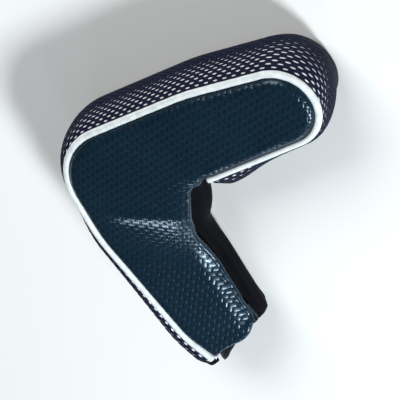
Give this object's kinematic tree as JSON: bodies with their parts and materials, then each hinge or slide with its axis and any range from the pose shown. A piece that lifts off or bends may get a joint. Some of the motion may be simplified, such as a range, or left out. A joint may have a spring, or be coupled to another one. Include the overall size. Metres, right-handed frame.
{
  "type": "putter head cover",
  "caption": "L-shaped padded sleeve for a blade putter, with a piped mesh gusset and a hook-and-loop fly down the inner side of its neck.",
  "frame": {"origin": "on the flat outer face of the back panel, where the centrelines of the blade and the neck cross", "axes": "+Z out of the front panel, away from the resting face; +X from heel to toe; -Y down the neck towards its open mouth"},
  "size_m": [0.1686, 0.1648, 0.04],
  "materials": {
    "embossed_leather": "satin, embossed basket weave",
    "foam": "matte foam",
    "plush_lining": "soft short pile",
    "piping": "satin",
    "sports_mesh": "matte knitted mesh",
    "mesh_backing": "matte",
    "sewing_thread": "satin",
    "hook_and_loop": "matte",
    "smooth_fabric": "matte"
  },
  "bodies": {
    "cover_body": {"front_panel_blade": "embossed_leather", "front_padding_blade": "foam", "front_lining_blade": "plush_lining", "back_panel": "embossed_leather", "back_padding": "foam", "back_lining": "plush_lining", "gusset_mesh": "sports_mesh", "gusset_backing": "mesh_backing", "gusset_lining": "plush_lining", "gusset_mouth_binding": "smooth_fabric", "back_mouth_binding": "smooth_fabric", "front_piping": "piping", "front_piping_cord": "piping", "front_seam_thread": "sewing_thread", "back_piping": "piping", "back_piping_cord": "piping", "back_seam_thread": "sewing_thread", "closure_band_anchor": "smooth_fabric"},
    "front_flap": {"front_panel_neck": "embossed_leather", "front_padding_neck": "foam", "front_lining_neck": "plush_lining", "hook_tape": "hook_and_loop", "hook_tape_thread": "sewing_thread"},
    "closure_flap": {"closure_band": "smooth_fabric", "loop_tape": "hook_and_loop", "loop_tape_thread": "sewing_thread"}
  },
  "joints": [
    {"name": "front_flap_lift", "type": "hinge", "parent": "cover_body", "child": "front_flap", "pos_m": [-0.0204, -0.0411, 0.036], "axis": [0.0606, -0.9982, 0], "range_deg": [0, 45]},
    {"name": "closure_flap_open", "type": "hinge", "parent": "cover_body", "child": "closure_flap", "pos_m": [0.0208, -0.0605, 0.0044], "axis": [0.0794, 0.9968, 0], "range_deg": [0, 67.5]}
  ],
  "couplings": [
    {"joint": "closure_flap_open", "follows": "front_flap_lift", "ratio": 1.5}
  ]
}
